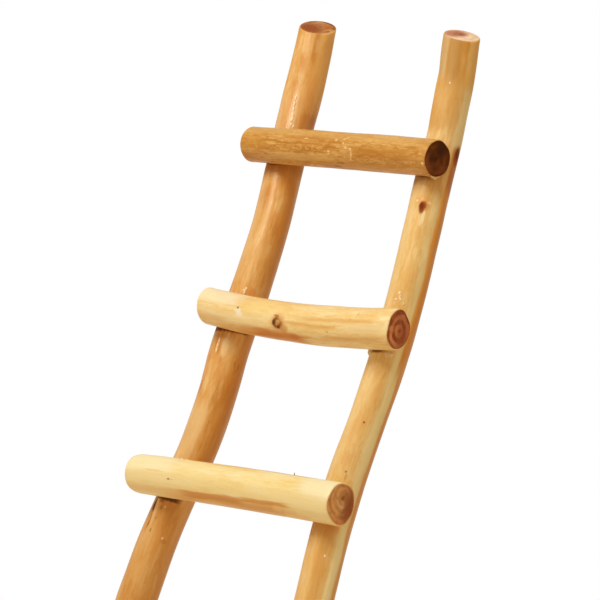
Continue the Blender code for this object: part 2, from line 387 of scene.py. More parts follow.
class Shade:
    """A socket of a material that joins in arithmetic: each operator adds a Math node to the material."""

    def __init__(self, tree, socket):
        self.tree = tree
        self.socket = socket

    def node(self, kind, settings, sockets, output=0):
        """Adds a node with these settings, sets or links its sockets, and returns one of its outputs."""
        node = self.tree.nodes.new(kind)
        for name, value in settings.items():
            setattr(node, name, value)
        for key, value in sockets.items():
            if isinstance(value, Shade):
                self.tree.links.new(value.socket, node.inputs[key])
            else:
                node.inputs[key].default_value = value
        return Shade(self.tree, node.outputs[output])

    def other(self, output):
        """Another output of the same node."""
        return Shade(self.tree, self.socket.node.outputs[output])

    def maths(self, operation, *values):
        """A Math node on these values."""
        return self.node("ShaderNodeMath", {"operation": operation}, dict(enumerate(values)))

    def __add__(self, value):
        return self.maths("ADD", self, value)

    def __sub__(self, value):
        return self.maths("SUBTRACT", self, value)

    def __rsub__(self, value):
        return self.maths("SUBTRACT", value, self)

    def __mul__(self, value):
        return self.maths("MULTIPLY", self, value)

    def __truediv__(self, value):
        return self.maths("DIVIDE", self, value)

    __radd__ = __add__
    __rmul__ = __mul__

    def rise(self, low, high):
        """0 below low, 1 above high, and a smooth rise between."""
        settings = {"interpolation_type": "SMOOTHSTEP"}
        return self.node("ShaderNodeMapRange", settings, {0: self, 1: low, 2: high, 3: 0.0, 4: 1.0})

    def hump(self, low, high, soft):
        """1 between low and high and 0 outside them, with edges this soft."""
        return self.rise(low - soft, low + soft) * (1 - self.rise(high - soft, high + soft))

    def tinted(self, colour, amount):
        """This colour mixed with another one by an amount from 0 to 1."""
        return self.node("ShaderNodeMix", {"data_type": "RGBA"}, {0: amount, 6: self, 7: colour}, 2)

    def clouding(self, dark, pale, low, high):
        """A dark colour that turns pale as this value rises from low to high."""
        return self.tinted(srgb(*dark), 1.0).tinted(srgb(*pale), self.rise(low, high))

    def bump(self, strength, distance):
        """The normal of a surface that this value raises by up to a distance."""
        sockets = {"Strength": strength, "Distance": distance, "Height": self}
        return self.node("ShaderNodeBump", {}, sockets, "Normal")

    def feeds(self, name):
        """Links this value to a socket of the material's shader."""
        self.tree.links.new(self.socket, self.tree.nodes["Principled BSDF"].inputs[name])


def srgb(red, green, blue):
    """A colour as seen on a screen, from 0 to 255, as the linear values that a shader takes."""
    shares = np.array([red, green, blue]) / 255
    linear = np.where(shares <= 0.04045, shares / 12.92, ((shares + 0.055) / 1.055) ** 2.4)
    return (*linear.tolist(), 1.0)


def new_material(name):
    """A material with one shader, still plain."""
    material = bpy.data.materials.new(name)
    material.use_nodes = True
    return material


def set_sockets(material, values):
    """Sets what is the same all over a material on its shader's own sockets."""
    for name, value in values.items():
        material.node_tree.nodes["Principled BSDF"].inputs[name].default_value = value
    return material


def wood_fields(name, seed):
    """A new material and the places on a branch that its pattern is drawn by: height along the grain,
    turn from the front, and distance from the pith, with noise drawn out along the grain."""
    material = new_material(name)
    start = Shade(material.node_tree, None)
    grain = start.node("ShaderNodeAttribute", {"attribute_name": "grain"}, {}, "Vector")
    front = start.node("ShaderNodeSeparateXYZ", {}, {0: grain}, "X")
    side, along = front.other("Y"), front.other("Z")

    def noise(width, length, detail=2.0, shift=0.0, bent=0.0):
        """Noise with grains of this width across the wood's grain and this length along it."""
        stretch = (1 / width, 1 / width, 1 / length)
        offset = (seed * 3.7 + shift, seed * 1.9, seed * 5.3 + shift)
        sockets = {0: grain, 1: stretch, 2: offset}
        place = start.node("ShaderNodeVectorMath", {"operation": "MULTIPLY_ADD"}, sockets)
        sockets = {"Vector": place, "Scale": 1.0, "Detail": detail, "Distortion": bent}
        return start.node("ShaderNodeTexNoise", {}, sockets)

    return SimpleNamespace(
        material=material,
        front=front,
        side=side,
        along=along,
        turn=start.maths("ARCTAN2", side, front),
        spread=start.maths("SQRT", front * front + side * side),
        tight=start.node("ShaderNodeAttribute", {"attribute_name": "tight"}, {}, "Fac"),
        noise=noise,
        clear=1.0,
        drift=noise(0.007, 0.035, 3.0, 2.2) - 0.5,
        fray=noise(0.0013, 0.016, 2.0, 4.9) - 0.5,
    )


def fibres(wood, dark, middle, pale, streaked, mottled):
    """Wood seen along its grain: a middle tone that turns dark and pale in clouds and in bent streaks,
    with hair lines and short flecks. The shares weigh the streaks against the clouds, and the flecks."""
    cloud = wood.noise(0.009, 0.030, 2.0)
    streak = wood.noise(0.0019, 0.018, 3.0, 3.1, 0.7)
    hair = wood.noise(0.0006, 0.010, 2.0, 7.7)
    wood.fleck = wood.noise(0.0011, 0.0036, 3.0, 5.9, 0.8)
    tone = cloud * (1 - streaked) + streak * streaked
    colour = tone.clouding(middle, pale, 0.50, 0.63)
    colour = colour.tinted(srgb(*dark), 1 - tone.rise(0.37, 0.50))
    colour = colour.tinted(srgb(*dark), hair.rise(0.50, 0.74) * (0.15 + 0.5 * streaked))
    colour = colour.tinted(srgb(*pale), wood.fleck.rise(0.52, 0.68) * mottled)
    return colour.tinted(srgb(*dark), (1 - wood.fleck.rise(0.32, 0.48)) * mottled)


def flushed(colour, noise, high, low):
    """Adds one tint to a colour where noise is high and another where it is low. Each has its colour, the
    two edges in the noise that it comes in between, and an amount."""
    tint, start, full, amount = high
    colour = colour.tinted(srgb(*tint), noise.rise(start, full) * amount)
    tint, full, start, amount = low
    return colour.tinted(srgb(*tint), (1 - noise.rise(full, start)) * amount)


EDGE_WANDER = radians(22)  # how far slow noise moves the edges of a zone round a branch
EDGE_FRAY = radians(9)  # and quick noise
END_FRAY = 0.012  # how far quick noise moves its ends along the branch
END_FADE = (0.012, 0.14)  # longest fade of an end, and longest as a share of the zone


def zoned(wood, colour, zones):
    """Adds zones to a colour. Each runs between two places along the grain and two turns in degrees, with
    an edge so many degrees soft that wanders and frays. Then come its colour and amount."""
    turn = wood.turn + wood.drift * EDGE_WANDER + wood.fray * EDGE_FRAY
    along = wood.along + wood.fray * END_FRAY
    for start, end, low, high, soft, tint, amount in zones:
        across = turn.hump(radians(low), radians(high), radians(soft))
        fade = min(END_FADE[0], END_FADE[1] * (end - start))
        colour = colour.tinted(srgb(*tint), across * along.hump(start, end, fade) * amount)
    return colour


def away(wood, at, angle, length, width, ragged):
    """How far a point of the surface is from the middle of an oval, in half lengths along the grain and
    half widths round the branch, made ragged by noise. It is 1 on the oval's edge."""
    up = (wood.along - at) / (length / 2)
    round_it = (wood.turn - radians(angle)) * (RAIL_RADIUS / (width / 2))
    far = up.maths("SQRT", up * up + round_it * round_it)
    return far + (wood.noise(width * 0.45, length * 0.45) - 0.5) * (2 * ragged)


DULL_BELOW = 340  # a spot whose red, green and blue add up to less than this takes no gloss


def spotted(wood, colour, spots):
    """Adds ragged oval spots to a colour. Each has a place along the grain, a turn in degrees, a length,
    a width, a colour and an amount. Dark ones are dull."""
    for at, angle, length, width, tint, amount in spots:
        spot = (1 - away(wood, at, angle, length, width, 0.35).rise(0.6, 1.4)) * amount
        colour = colour.tinted(srgb(*tint), spot)
        if sum(tint) < DULL_BELOW:
            wood.clear = (1 - spot) * wood.clear
    return colour


RUNG_SHADOW_FRAY = 0.0014  # how far noise moves the foot of a painted shadow
RUNG_SHADOW_SLANT = 0.0012  # how much higher the foot lies for each radian round the rail
RUNG_SHADOW_SOFT = radians(14)  # softness of its sides
RUNG_SHADOW_TOP = 0.004  # height above the rung's axis where a painted shadow has faded


def shaded_under_rungs(wood, colour, rail, rung_shadows):
    """Darkens a rail under its rungs with the painted shadow that each rung casts there. Each painted
    shadow has its rung's number, two turns in degrees that it lies between, its reach below the rung's
    axis, its fade, a colour and an amount."""
    for number, low, high, reach, fade, tint, amount in rung_shadows:
        foot = seat_on(rail, RUNGS[number - 1])[2] - reach
        above = wood.along + wood.fray * RUNG_SHADOW_FRAY - wood.turn * RUNG_SHADOW_SLANT - foot
        across = wood.turn.hump(radians(low), radians(high), RUNG_SHADOW_SOFT)
        rung_shadow = above.rise(0, fade) * (1 - above.rise(reach, reach + RUNG_SHADOW_TOP)) * across * amount
        colour = colour.tinted(srgb(*tint), rung_shadow)
        wood.clear = (1 - rung_shadow) * wood.clear
    return colour


# Painted shade where a rung and a rail close on each other
CORNER_SHADE = srgb(92, 46, 16)
WARM_SHEEN = srgb(255, 234, 190)


def lacquered(wood, colour, gloss, tooth):
    """Finishes round wood: painted shade in tight corners, with a warm sheen broken by a tooth of grain,
    under a clear coat that pools and thins."""
    # painted shade darkens the wood where the other branch closes on it
    colour.tinted(CORNER_SHADE, wood.tight.rise(0.30, 0.95) * 0.85).feeds("Base Color")
    fine = wood.noise(0.0006, 0.020, 4.0, 9.1)
    ripple = wood.noise(0.0030, 0.009, 2.0, 4.4)
    (0.38 + (ripple - 0.5) * 0.35 + (1 - wood.clear) * 0.4).feeds("Roughness")
    (fine * 0.30 + ripple * 0.50 + wood.fleck * 0.30).bump(tooth, 0.0004).feeds("Normal")
    (gloss * (0.5 + wood.noise(0.005, 0.016, 2.0, 1.7)) * wood.clear).feeds("Coat Weight")
    even = {"Coat Roughness": 0.16, "Specular IOR Level": 0.45, "Specular Tint": WARM_SHEEN}
    return set_sockets(wood.material, even)


SAW_MARKS = 5200  # radians a metre of the sine that draws the marks of the saw's teeth


def sawn_end(name, seed, radius, tones, pith, spacing, contrast, patches):
    """A sawn end: rings of early and late wood that wander round the pith, with ragged patches of other
    tones, another tone at the rim and saw marks. It soaks up the lacquer, so it is matt. A patch has a
    place and half sizes to the front and the side, as shares of the radius, a colour and an amount."""
    wood = wood_fields(name, seed)
    early, late, rim, rim_width = tones
    wander = (wood.noise(0.0090, 1.0, 2.0, 1.3) - 0.5) * 0.0036
    front, side = wood.front - pith[0] * radius, wood.side - pith[1] * radius
    reach = wood.spread.maths("SQRT", front * front + side * side) + wander
    wave = reach.maths("COSINE", reach * (2 * pi / spacing))
    ring = wave.rise(-0.8, 0.7) * (0.5 + 0.5 * wood.noise(0.0050, 1.0, 2.0, 3.3).rise(0.34, 0.62))
    blotch = wood.noise(0.0034, 1.0, 3.0, 5.5)
    speck = wood.noise(0.0009, 1.0, 2.0, 8.5)
    colour = ring.tinted(srgb(*early), 1.0)
    for ahead, aside, long, wide, tint, amount in patches:
        u = (wood.front / radius - ahead) / long
        v = (wood.side / radius - aside) / wide
        far = u.maths("SQRT", u * u + v * v) + (blotch - 0.5) * 0.8 + wander * 90
        colour = colour.tinted(srgb(*tint), (1 - far.rise(0.3, 1.6)) * amount)
    colour = colour.tinted(srgb(*late), ring * contrast)
    colour = colour.tinted(srgb(*late), blotch.rise(0.46, 0.70) * 0.4)
    colour = colour.tinted(srgb(*early), speck.rise(0.55, 0.75) * 0.3)
    colour = colour.tinted(srgb(*late), (1 - reach.rise(0.0005, 0.0017)) * 0.8)
    edge = (wood.spread + wander * 0.25).rise(radius - rim_width - 0.0004, radius - rim_width + 0.0004)
    colour.tinted(srgb(*rim), edge * 0.85).feeds("Base Color")
    (0.75 + 0.20 * blotch).feeds("Roughness")
    marks = wood.front * 0.8 + wood.side * 0.6
    marks = marks.maths("SINE", marks * SAW_MARKS) * 0.25 + ring * 0.5 + blotch
    marks.bump(0.35, 0.0003).feeds("Normal")
    return set_sockets(wood.material, {"Specular IOR Level": 0.06})


def rail_skin(rail, place, turn):
    """A rail's radius with its peeled relief, before its lumps."""
    return rail_radius(rail, place) + peeled(rail.seed, place, turn)


def dressed(piece, node):
    """Puts a finished piece in the place of its CAD node."""
    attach(piece, "root")
    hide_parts(node)


def grow_rail(rail, lumps, wood, end):
    """Grows a rail's branch with its own lumps, cuts its saddles and screw holes, and dresses it."""

    def radius(place, turn):
        return rail_skin(rail, place, turn) + lumps(place, turn)

    grid = branch(partial(rail_line, rail), radius, 0.0, rail.length, LEVEL_SAW, rail.top_saw)
    # How much painted shade each point gets where a rung closes on the rail
    grid.tight = 0
    for rung in RUNGS:
        cut_saddle(grid, rung)
        _, y, z = np.moveaxis(grid.points - rung_line(rung, grid.points[..., 0]), -1, 0)
        gap = np.hypot(y, z) - rung_radius(rung, grid.points[..., 0])
        grid.tight = np.maximum(grid.tight, corner_shade(gap, z < 0))
        seat = seat_on(rail, rung)
        bore_for_screw(grid, seat[0], seat[2], back_of(rail, seat[2]))
    piece = skinned(f"{rail.name}_rail_branch", grid, wood, end)
    dressed(piece, f"{rail.name}_rail")


DROP_SINK = 0.0004  # how far a drop's underside reaches below the branch's surface
DROP_EDGE = pi / 3  # polar angle where its ellipsoid meets that surface
DROP_ROWS = 9
DROP_COLUMNS = 14


def strewn(name, line, skin, drops, material):
    """Small drops on a branch, as one mesh. Each is an ellipsoid bent round the branch and sunk until a
    cap is left: sines and cosines of a polar angle and a bearing, times its sizes. Its underside is cut
    off. A row has a place along the branch, a turn in degrees, a length, a width and a height."""
    at, angle, length, width, height = np.moveaxis(np.array(drops), 1, 0)[:, :, None, None]
    polar = np.linspace(pi, 0, DROP_ROWS)[:, None]
    around = np.linspace(0, 2 * pi, DROP_COLUMNS, endpoint=False)
    share = np.sin(polar) / sin(DROP_EDGE)
    place = at + length / 2 * share * np.sin(around)
    turn = np.radians(angle) + width / 2 * share * np.cos(around) / RAIL_RADIUS
    _, front, side = directions(line, place)
    rise = np.maximum(height * (np.cos(polar) - cos(DROP_EDGE)) / (1 - cos(DROP_EDGE)), -DROP_SINK)
    points = line(place) + (skin(place, turn) + rise)[..., None] * outward(turn, front, side)
    quads, fans = wrapped(*points.shape[1:3])
    meshes = [joined(grid) for grid in points]
    faces = []
    for number in range(len(meshes)):
        start = number * len(meshes[0])
        faces += (quads + start).tolist() + (fans + start).tolist()
    piece = built(name, np.concatenate(meshes), faces, material)
    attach(piece, "root")


def strewn_on_rail(name, rail, drops, material):
    """Small drops on a rail, as one mesh."""
    strewn(name, partial(rail_line, rail), partial(rail_skin, rail), drops, material)


def clouded(name, grains, tones, edges, roughness, even):
    """A material clouded by noise, with so many grains a metre and so much detail: from the first tone to
    the second as the noise rises between two edges, and from the first roughness up by the second. What
    is even all over has a value for each socket."""
    material = new_material(name)
    place = Shade(material.node_tree, None).node("ShaderNodeTexCoord", {}, {}, "Object")
    sockets = {"Vector": place, "Scale": grains[0], "Detail": grains[1]}
    cloud = place.node("ShaderNodeTexNoise", {}, sockets)
    cloud.clouding(*tones, *edges).feeds("Base Color")
    (roughness[0] + roughness[1] * cloud).feeds("Roughness")
    return set_sockets(material, even)


def drop_stuff(name, dark, pale, roughness, coat):
    """The stuff of small drops, flakes and splinters, whose roughness varies about the one given."""
    even = {"Coat Weight": coat, "Coat Roughness": 0.12}
    roughness = (0.6 * roughness, 0.8 * roughness)
    return clouded(name, (700.0, 2.0), (dark, pale), (0.38, 0.62), roughness, even)


# Lacquer drops, painted pale cream, partly as painted highlight
lacquer_drops = drop_stuff("lacquer_drops", (238, 196, 134), (254, 230, 184), 0.32, 0.3)

DROP_LENGTHS = (0.0014, 0.0032)
DROP_WIDTHS = (0.0012, 0.0022)
DROP_HEIGHTS = (0.10, 0.20)  # as shares of the width


def trail(start, end, count, spread, seed, size):
    """Rows for drops that ran from one place and turn in degrees to another, strewn about that line."""
    dice = np.random.default_rng(seed)
    t = np.sort(dice.uniform(0, 1, count))
    at = start[0] + t * (end[0] - start[0])
    angle = start[1] + t * (end[1] - start[1]) + dice.normal(0, spread, count)
    length = dice.uniform(*DROP_LENGTHS, count) * size
    width = dice.uniform(*DROP_WIDTHS, count) * size
    height = dice.uniform(*DROP_HEIGHTS, count) * width / size**2
    return np.stack([at, angle, length, width, height], -1).tolist()


# Left rail
# An orange-brown branch. Its lacquer ran in small beads above the top rungs, and a strip of bark lifts
# from a groove below the third rung.

LEFT_RAIL_BOSSES = [(0.317, 60, 0.009, 0.0003), (0.3605, 1.72, 0.006, 0.0002)]
GROOVE_DEPTH = 0.0010
GROOVE_SLANT = 12  # radians that it turns back for each metre up the rail
BARK_LIFT = 0.0005


def left_rail_lumps(place, turn):
    """Two swellings, and a short slanting groove with a strip of bark lifted beside it. Both are bell
    curves across the groove's line that rise and end smoothly along the rail."""
    groove = ramp(0.250, 0.257, place) * (1 - ramp(0.264, 0.270, place))
    across = turn - radians(-13) + GROOVE_SLANT * (place - 0.260)
    lifted = BARK_LIFT * np.exp(-(((across - 0.13) / 0.06) ** 2))
    sunk = GROOVE_DEPTH * np.exp(-((across / 0.07) ** 2))
    return bosses(place, turn, LEFT_RAIL_BOSSES) + groove * (lifted - sunk)


def left_rail_wood():
    """Orange-brown wood with pale and brown stretches, dark marks in the groove and a dull top, painted
    shade on its side away from the lamp, painted sheen, and painted shadows under its rungs.
    """
    wood = wood_fields("left_rail_wood", 1)
    colour = fibres(wood, (206, 139, 60), (226, 169, 90), (240, 198, 128), 0.28, 0.25)
    blush = wood.noise(0.006, 0.014, 2.0, 6.6)
    red, pale = ((222, 144, 60), 0.52, 0.68, 0.35), ((240, 204, 138), 0.32, 0.48, 0.35)
    colour = flushed(colour, blush, red, pale)
    zones = [
        # Painted shade, partly the wood's own tone: the side away from the lamp darker and more orange
        (-0.05, 0.270, 80, 178, 14, (216, 150, 66), 0.60),
        (0.270, 0.480, 74, 178, 14, (212, 138, 42), 0.60),
        (0.480, 0.515, 92, 178, 12, (222, 152, 62), 0.50),
        (0.515, 0.620, 58, 178, 12, (250, 194, 108), 0.70),
        (0.286, 0.350, 50, 104, 10, (208, 132, 42), 0.45),
        (0.405, 0.470, 62, 104, 10, (208, 134, 46), 0.45),
        (-0.05, 0.266, -60, 42, 12, (216, 160, 86), 0.50),
        # Painted shade: the rail's lower part darker on its right, below the third rung
        (-0.05, 0.270, 40, 80, 10, (204, 138, 58), 0.50),
        # Painted sheen: paler towards the lit left edge
        (0.292, 0.326, -60, 34, 9, (242, 206, 142), 0.65),
        (0.400, 0.424, -34, 8, 8, (240, 196, 126), 0.55),
        # Painted sheen where the lamp's highlight runs
        (0.420, 0.452, 8, 30, 7, (242, 206, 142), 0.30),
        (0.425, 0.470, -60, 0, 10, (238, 192, 124), 0.50),
        (0.480, 0.520, -60, 8, 10, (238, 192, 124), 0.40),
        (0.495, 0.530, 36, 80, 10, (226, 154, 70), 0.50),
        (0.490, 0.506, 54, 130, 10, (202, 126, 50), 0.60),
    ]
    wood.clear = 1 - 0.65 * wood.along.rise(0.508, 0.526)
    colour = zoned(wood, colour, zones)
    spots = [
        (0.2640, -17, 0.0080, 0.0024, (112, 58, 18), 0.90),
        (0.2590, -10, 0.0070, 0.0014, (116, 62, 20), 0.85),
        (0.2535, -9, 0.0060, 0.0011, (138, 82, 32), 0.75),
        (0.2660, -8, 0.0070, 0.0022, (252, 214, 152), 0.80),
        (0.2612, -1, 0.0080, 0.0020, (252, 210, 148), 0.80),
        (0.2560, 1, 0.0060, 0.0015, (248, 202, 134), 0.70),
        (0.2501, 10, 0.0024, 0.0010, (140, 88, 36), 0.70),
        (0.2638, 14, 0.0022, 0.0012, (156, 100, 42), 0.60),
        (0.2681, 4, 0.0034, 0.0040, (132, 76, 30), 0.60),
        (0.2575, 12, 0.0018, 0.0009, (160, 104, 44), 0.60),
        (0.2466, 60, 0.0026, 0.0034, (190, 112, 40), 0.50),
        (0.3510, 70, 0.0040, 0.0010, (176, 108, 42), 0.60),
        (0.3500, 84, 0.0044, 0.0010, (176, 108, 42), 0.60),
        (0.3472, 78, 0.0034, 0.0009, (184, 116, 46), 0.50),
        # Painted sheen below the fourth rung
        (0.3605, 28, 0.0130, 0.0042, (244, 216, 158), 0.70),
        (0.3630, 42, 0.0080, 0.0030, (240, 208, 148), 0.45),
        (0.3940, 50, 0.0060, 0.0050, (226, 132, 50), 0.50),
        (0.5025, 108, 0.0130, 0.0044, (190, 112, 44), 0.55),
        # Painted sheen under the top beads
        (0.5130, 27, 0.0120, 0.0028, (250, 218, 162), 0.30),
        (0.5030, 30, 0.0130, 0.0034, (250, 218, 162), 0.35),
    ]
    # Painted shadows that the rungs cast on the rail under them
    rung_shadows = [
        (1, -30, 70, 0.0116, 0.0012, (92, 42, 10), 0.75),
        (2, -30, 70, 0.0116, 0.0012, (92, 42, 10), 0.75),
        (3, -24, 58, 0.0114, 0.0012, (92, 42, 10), 0.90),
        (4, -40, 84, 0.0120, 0.0014, (96, 44, 12), 0.85),
        (5, -40, 120, 0.0190, 0.0090, (176, 104, 36), 0.60),
    ]
    colour = shaded_under_rungs(wood, spotted(wood, colour, spots), LEFT_RAIL, rung_shadows)
    return lacquered(wood, colour, 0.26, 0.45)


LEFT_END_TONES = ((204, 150, 98), (150, 86, 44), (206, 138, 66), 0.0006)
left_end_patches = [
    (0.42, -0.20, 0.62, 0.70, (152, 78, 42), 0.95),
    (0.62, 0.10, 0.40, 0.50, (160, 84, 44), 0.80),
    (-0.45, 0.50, 0.40, 0.45, (192, 114, 46), 0.85),
    (-0.95, -0.05, 0.20, 0.90, (112, 72, 38), 0.95),
    (-0.50, -0.88, 0.45, 0.18, (128, 82, 44), 0.85),
    (-0.70, 0.75, 0.30, 0.20, (130, 82, 42), 0.70),
    (-0.15, 0.82, 0.25, 0.18, (240, 200, 140), 0.60),
    (0.02, 0.80, 0.12, 0.10, (90, 62, 30), 0.70),
]
left_rail_end = sawn_end(
    "left_rail_end", 31, RAIL_RADIUS, LEFT_END_TONES, (-0.12, 0.02), 0.0042, 0.4, left_end_patches
)
grow_rail(LEFT_RAIL, left_rail_lumps, left_rail_wood(), left_rail_end)
left_drops = [
    (0.5136, 25, 0.0052, 0.0014, 0.00030),
    (0.5100, 25, 0.0046, 0.0022, 0.00036),
    (0.5070, 27, 0.0036, 0.0018, 0.00034),
    (0.5032, 28, 0.0040, 0.0022, 0.00036),
    (0.5000, 29, 0.0034, 0.0018, 0.00034),
    (0.4970, 31, 0.0032, 0.0015, 0.00030),
]
left_drops += trail((0.5080, 22), (0.4960, 34), 5, 3.0, 6, 1.0)
left_drops += trail((0.3960, 34), (0.3930, 25), 4, 3, 7, 1.0) + [(0.3600, 3, 0.0110, 0.0019, 0.00038)]
left_drops += [(0.2652, 25, 0.0012, 0.0010, 0.0002), (0.2480, 54, 0.0014, 0.0012, 0.0002)]
strewn_on_rail("left_rail_drops", LEFT_RAIL, left_drops, lacquer_drops)

# Right rail
# A paler, honey-coloured branch with a teardrop knot below the top rung. A cream stripe runs down its
# outer side, next to a brown one, and the wood is scarred where the top rung crosses.

RIGHT_RAIL_BOSSES = [
    (0.4535, 23, 0.0028, 0.0003),
    (0.5360, -48, 0.0070, -0.0005),
    (0.4990, -48, 0.0080, -0.0005),
    (0.5120, 131, 0.0160, -0.0005),
]


def right_rail_wood():
    """Honey-coloured wood with a cream and a brown stripe at its side, a knot, a dull top and painted
    shadows under its rungs.
    """
    wood = wood_fields("right_rail_wood", 2)
    colour = fibres(wood, (226, 175, 90), (238, 197, 119), (248, 216, 150), 0.42, 0.35)
    blush = wood.noise(0.006, 0.014, 2.0, 6.6)
    red, pale = ((232, 172, 98), 0.54, 0.68, 0.45), ((250, 226, 158), 0.32, 0.46, 0.45)
    colour = flushed(colour, blush, red, pale)
    zones = [
        (0.270, 0.500, -70, -4, 12, (248, 220, 156), 0.55),
        (-0.05, 0.272, -70, 4, 12, (236, 196, 130), 0.55),
        (-0.05, 0.420, 12, 40, 12, (230, 178, 92), 0.40),
        (-0.05, 0.275, 62, 94, 8, (255, 244, 182), 0.75),
        (0.270, 0.362, 64, 90, 8, (255, 243, 180), 0.70),
        (0.355, 0.428, 60, 80, 8, (255, 243, 178), 0.65),
        (0.425, 0.462, 50, 72, 9, (252, 232, 166), 0.40),
        (0.490, 0.526, 72, 118, 9, (255, 242, 182), 0.65),
        (-0.05, 0.272, 99, 150, 5, (220, 152, 44), 0.80),
        (0.268, 0.366, 94, 150, 5, (220, 144, 34), 0.85),
        (0.362, 0.486, 82, 150, 6, (224, 144, 32), 0.90),
        (0.380, 0.462, 76, 92, 5, (255, 180, 66), 0.60),
        (0.466, 0.488, 88, 140, 7, (182, 94, 12), 0.75),
        (0.498, 0.530, -40, 66, 10, (216, 162, 86), 0.65),
        (0.526, 0.580, -4, 46, 9, (188, 136, 62), 0.90),
        (0.530, 0.580, -70, -4, 9, (202, 166, 112), 0.75),
        (0.524, 0.580, 44, 72, 12, (212, 150, 66), 0.70),
        (0.524, 0.580, 70, 130, 10, (246, 196, 106), 0.70),
        # Partly the wood's own tone, partly painted shadow of the third rung
        (0.210, 0.266, 16, 48, 9, (214, 154, 72), 0.60),
    ]
    wood.clear = 1 - 0.75 * wood.along.rise(0.485, 0.505)
    colour = zoned(wood, colour, zones)
    spots = [
        (0.4862, 100, 0.0110, 0.0070, (160, 78, 18), 0.80),
        (0.4875, 99, 0.0070, 0.0040, (126, 46, 4), 0.85),
        (0.4472, 32, 0.0080, 0.0018, (255, 236, 180), 0.80),
        (0.4442, 27, 0.0060, 0.0016, (253, 230, 168), 0.60),
        (0.4560, 22, 0.0050, 0.0080, (224, 164, 80), 0.45),
        (0.4557, 3, 0.0014, 0.0012, (255, 240, 196), 0.85),
        (0.4550, 40, 0.0014, 0.0030, (255, 228, 176), 0.65),
        (0.4532, 29, 0.0054, 0.0056, (214, 130, 56), 0.60),
        (0.4530, 24, 0.0050, 0.0042, (162, 74, 20), 0.95),
        (0.4512, 23, 0.0056, 0.0032, (150, 68, 18), 0.95),
        (0.4528, 21, 0.0042, 0.0022, (112, 46, 8), 0.85),
        (0.3305, 33, 0.0013, 0.0013, (132, 80, 32), 0.85),
        (0.3019, 32, 0.0013, 0.0012, (140, 90, 38), 0.75),
        (0.2990, 36, 0.0040, 0.0016, (214, 156, 74), 0.60),
        (0.5480, 52, 0.0120, 0.0060, (200, 136, 54), 0.45),
    ]
    # Painted shadows that the rungs cast on the rail under them
    rung_shadows = [
        (1, -30, 40, 0.0116, 0.0012, (120, 66, 20), 0.60),
        (2, -30, 40, 0.0116, 0.0012, (120, 66, 20), 0.60),
        (3, -50, 56, 0.0200, 0.0090, (196, 124, 62), 0.60),
        (4, -30, 20, 0.0110, 0.0010, (104, 56, 18), 0.85),
        (5, -50, 36, 0.0130, 0.0030, (150, 92, 36), 0.60),
    ]
    colour = shaded_under_rungs(wood, spotted(wood, colour, spots), RIGHT_RAIL, rung_shadows)
    return lacquered(wood, colour, 0.15, 0.40)


RIGHT_END_TONES = ((252, 224, 190), (190, 126, 92), (254, 230, 178), 0.0008)
right_end_patches = [
    (0.10, -0.38, 0.75, 0.44, (184, 114, 84), 0.95),
    (-0.10, -0.15, 0.36, 0.30, (146, 82, 56), 0.85),
    (0.35, -0.60, 0.34, 0.26, (206, 138, 108), 0.70),
    (-0.55, 0.45, 0.24, 0.24, (242, 214, 146), 0.70),
]
right_rail_end = sawn_end(
    "right_rail_end", 32, RAIL_RADIUS, RIGHT_END_TONES, (0.10, -0.20), 0.0050, 0.2, right_end_patches
)
grow_rail(RIGHT_RAIL, partial(bosses, rows=RIGHT_RAIL_BOSSES), right_rail_wood(), right_rail_end)
right_drops = trail((0.4070, 16), (0.3955, 18), 6, 8, 14, 0.9)
right_drops += [(0.5249, 22, 0.0014, 0.0012, 0.0002), (0.2544, 40, 0.0018, 0.0012, 0.0002)]
strewn_on_rail("right_rail_drops", RIGHT_RAIL, right_drops, lacquer_drops)

# Rungs
# Each rung is a shorter peeled branch, sawn off at both ends and lacquered. It lies in the saddles of
# both rails, where it is glued, and its ends stand out past them.

SQUARE_SAW = np.array([1.0, 0.0, 0.0])


def rung_skin(number, place, turn):
    """A rung's radius with its peeled relief, before its lumps."""
    return rung_radius(RUNGS[number - 1], place) + peeled(30 + number, place, turn)


def grow_rung(number, lumps, wood, end, start_saw=SQUARE_SAW, end_saw=SQUARE_SAW):
    """Grows a rung's branch with its own lumps, and dresses it."""
    rung = RUNGS[number - 1]

    def radius(place, turn):
        return rung_skin(number, place, turn) + lumps(place, turn)

    grid = branch(partial(rung_line, rung), radius, rung.start, rung.end, start_saw, end_saw)
    # How much painted shade each point gets where the rung closes on a rail
    grid.tight = 0
    for rail in RAILS:
        x, y, z = np.moveaxis(grid.points, -1, 0)
        axis = rail_line(rail, z)
        gap = np.hypot(x - axis[..., 0], y - axis[..., 1]) - rail_radius(rail, z)
        grid.tight = np.maximum(grid.tight, corner_shade(gap, z < seat_on(rail, rung)[2]))
    dressed(skinned(f"rung_{number}_branch", grid, wood, end), f"rung_{number}")


def strewn_on_rung(name, number, skin, drops, material):
    """Small drops, flakes or splinters on a rung, as one mesh."""
    strewn(name, partial(rung_line, RUNGS[number - 1]), skin, drops, material)


def at_end(number, rows):
    """Rows of bosses and flats that put a rung's right end out of round, by turn, size and height."""
    return [(RUNGS[number - 1].end, *row) for row in rows]


def plain_rung_wood(name, seed):
    """The pale wood of the two rungs below the picture, with one brown streak of heartwood each."""
    wood = wood_fields(name, seed)
    colour = fibres(wood, (243, 212, 140), (251, 232, 170), (254, 242, 192), 0.45, 0.35)
    colour = zoned(wood, colour, [(-0.020, 0.050, 40, 74, 4, (226, 166, 84), 0.85)])
    return lacquered(wood, colour, 0.15, 0.35)


